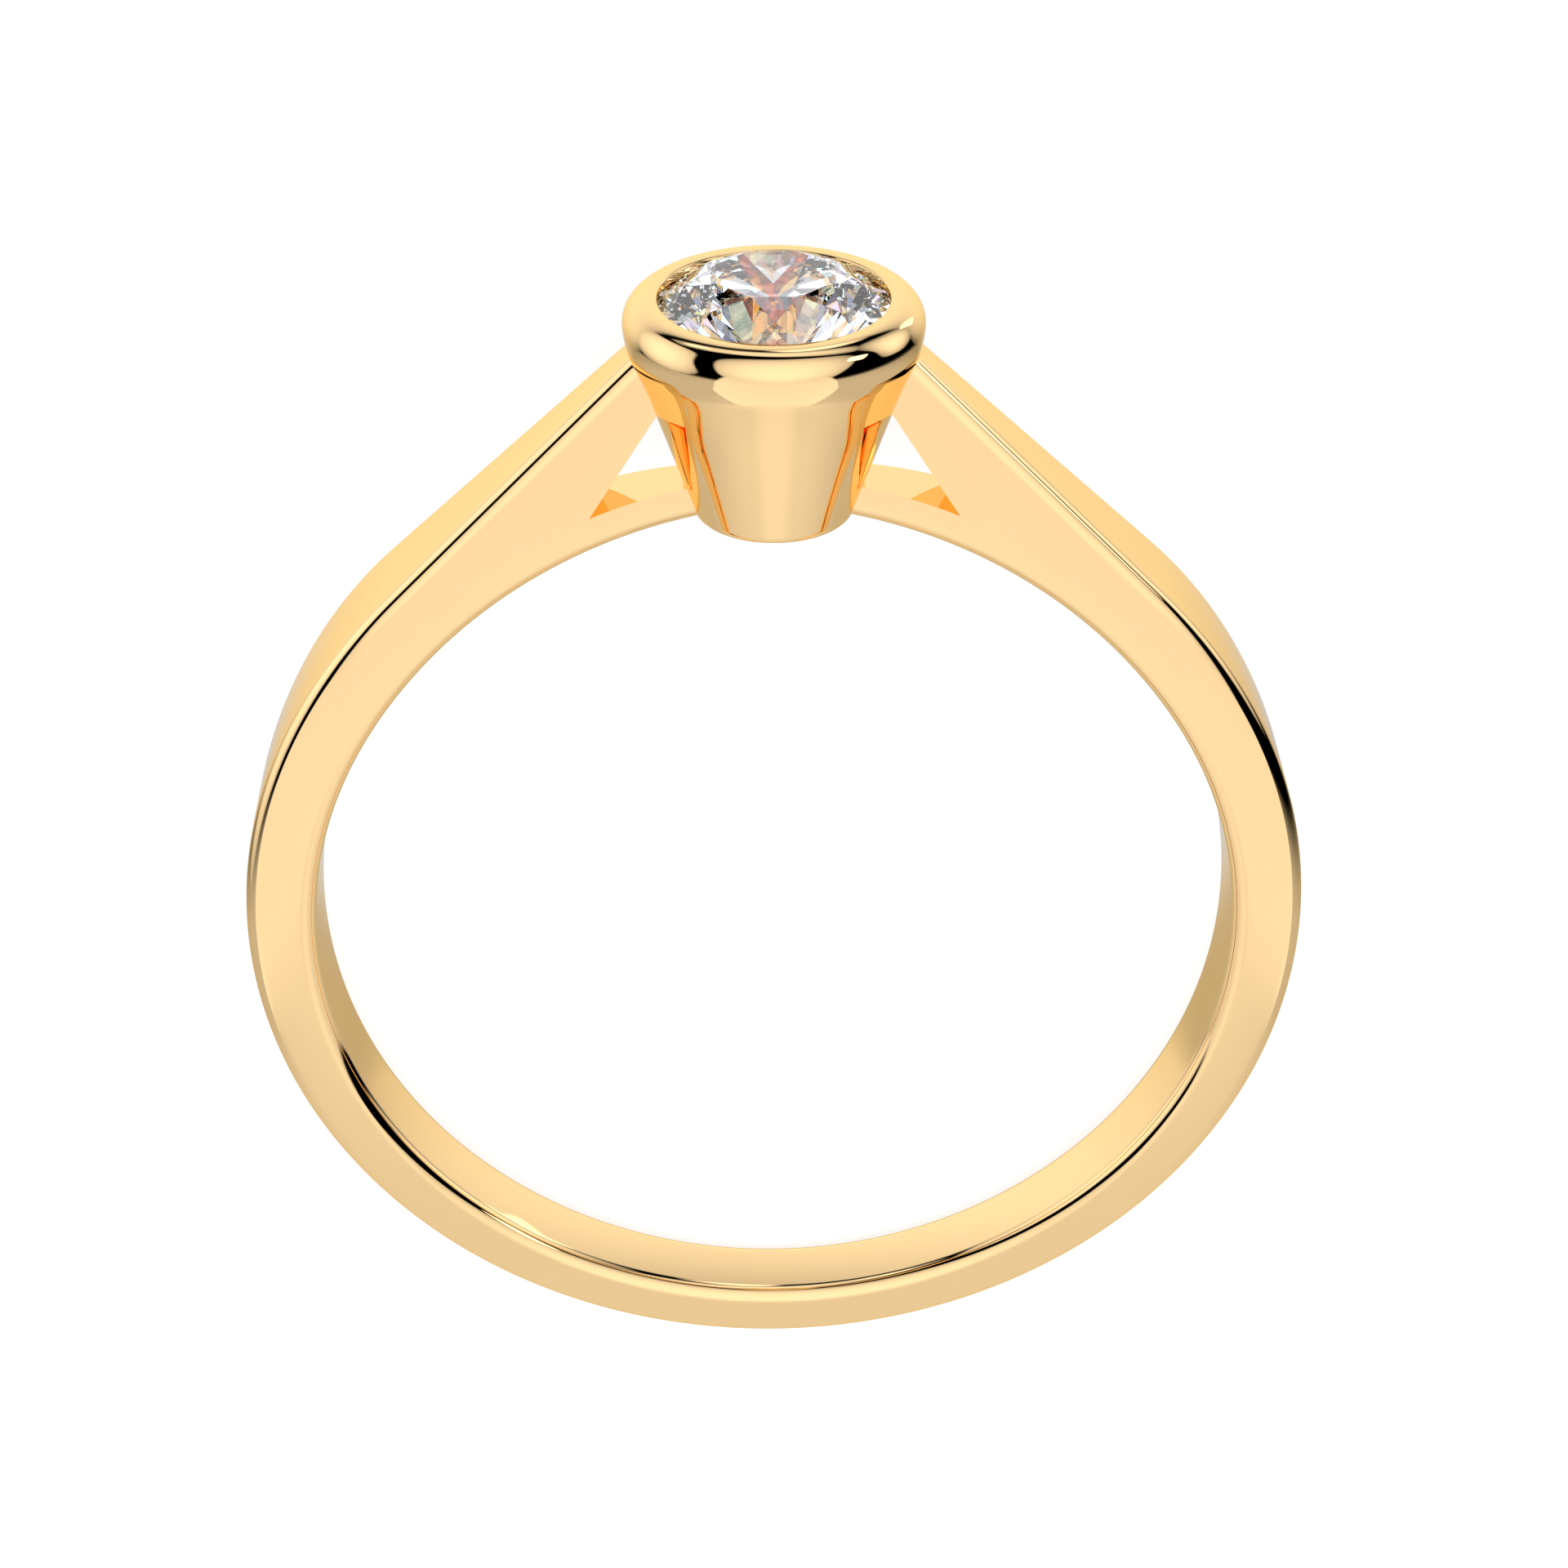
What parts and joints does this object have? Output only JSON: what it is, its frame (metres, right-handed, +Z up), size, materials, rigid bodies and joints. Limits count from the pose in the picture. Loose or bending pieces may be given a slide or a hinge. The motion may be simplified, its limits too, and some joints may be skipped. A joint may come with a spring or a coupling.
{
  "type": "solitaire ring",
  "caption": "Solitaire finger ring in yellow metal: a round brilliant held in a flared cup between pierced tapering shoulders, lying on its side.",
  "frame": {"origin": "middle of the ring's footprint on the surface that it lies on", "axes": "+Z up from that surface, +Y from the bottom of the band towards the stone, +X across the ring"},
  "size_m": [0.0196, 0.0224, 0.0052],
  "materials": {
    "gold": "high polish yellow gold alloy",
    "stone": "polished facets, colourless and clear"
  },
  "bodies": {
    "root": {"ring_mount": "gold", "round_stone": "stone"}
  },
  "joints": []
}
